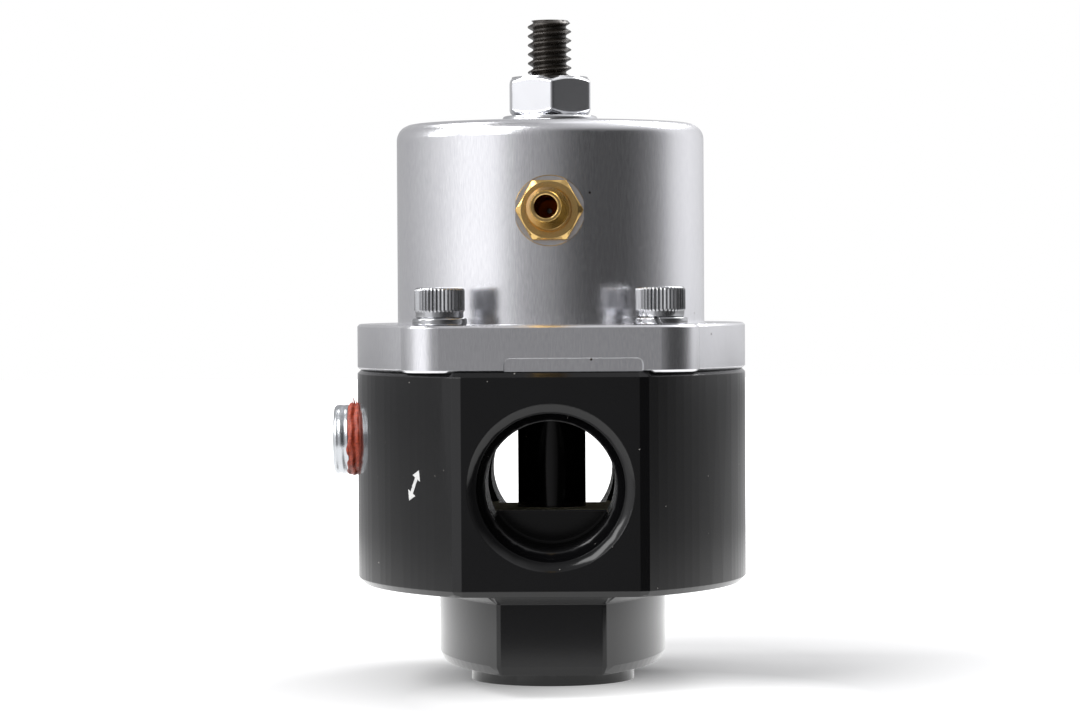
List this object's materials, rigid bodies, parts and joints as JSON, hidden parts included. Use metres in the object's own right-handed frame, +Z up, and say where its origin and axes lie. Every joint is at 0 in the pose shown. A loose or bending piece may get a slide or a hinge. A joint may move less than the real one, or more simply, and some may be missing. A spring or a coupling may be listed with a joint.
{
  "type": "fuel pressure regulator",
  "caption": "Bypass fuel pressure regulator: ported housing with a central return post, diaphragm under a spring bonnet, adjusting screw with jam nut, and vacuum hose barb.",
  "frame": {"origin": "on the turned axis of the housing and bonnet, in the plane of the base that it stands on", "axes": "+Z up along the axis and out of the adjusting screw, -Y out of the front port and along the hose barb, -X out of the plugged gauge port"},
  "size_m": [0.0578, 0.0695, 0.0923],
  "materials": {
    "black_anodised": "gloss black anodised",
    "silver_anodised": "satin silver anodised",
    "stainless": "ground",
    "spring_steel": "bright wire",
    "zinc_plated": "bright zinc",
    "black_oxide": "black oxide",
    "brass": "machined",
    "rubber": "matt",
    "red_sealant": "dried paste"
  },
  "bodies": {
    "housing": {"regulator_body": "black_anodised", "bonnet": "silver_anodised", "valve_seat": "stainless", "diaphragm": "rubber", "main_spring": "spring_steel", "screw_o_ring": "rubber", "cap_screws": "zinc_plated", "lock_washers": "zinc_plated", "hose_barb": "brass", "gauge_port_plug": "zinc_plated", "thread_sealant": "red_sealant"},
    "valve": {"valve_disc": "rubber", "lower_diaphragm_plate": "silver_anodised", "upper_diaphragm_plate": "silver_anodised", "diaphragm_nut": "zinc_plated"},
    "spring_seat": {"spring_button": "stainless", "thrust_ball": "stainless"},
    "adjuster": {"adjusting_screw": "black_oxide"},
    "washer": {"flat_washer": "zinc_plated"},
    "jam_nut": {"jam_nut": "zinc_plated"}
  },
  "joints": [
    {"name": "valve_lift", "type": "slide", "parent": "housing", "child": "valve", "axis": [0, 0, 1], "range_m": [0, 0.001], "stiffness_N_per_m": 8900, "springref_m": -0.006, "deforming": ["diaphragm", "main_spring"]},
    {"name": "adjuster_travel", "type": "slide", "parent": "housing", "child": "spring_seat", "axis": [0, 0, 1], "range_m": [-0.00445, 0.00381], "deforming": ["main_spring"]},
    {"name": "adjuster_turn", "type": "hinge", "parent": "spring_seat", "child": "adjuster", "pos_m": [0, 0, 0.0686], "axis": [0, 0, 1], "range_deg": [-1260, 1080]},
    {"name": "jam_nut_turn", "type": "hinge", "parent": "housing", "child": "washer", "pos_m": [0, 0, 0.07765], "axis": [0, 0, 1], "range_deg": [0, 540]},
    {"name": "jam_nut_rise", "type": "slide", "parent": "washer", "child": "jam_nut", "axis": [0, 0, 1], "range_m": [0, 0.00191]}
  ],
  "couplings": [
    {"joint": "adjuster_turn", "follows": "adjuster_travel", "rad_per_m": 4947.4},
    {"joint": "jam_nut_turn", "follows": "jam_nut_rise", "rad_per_m": 4947.4}
  ]
}
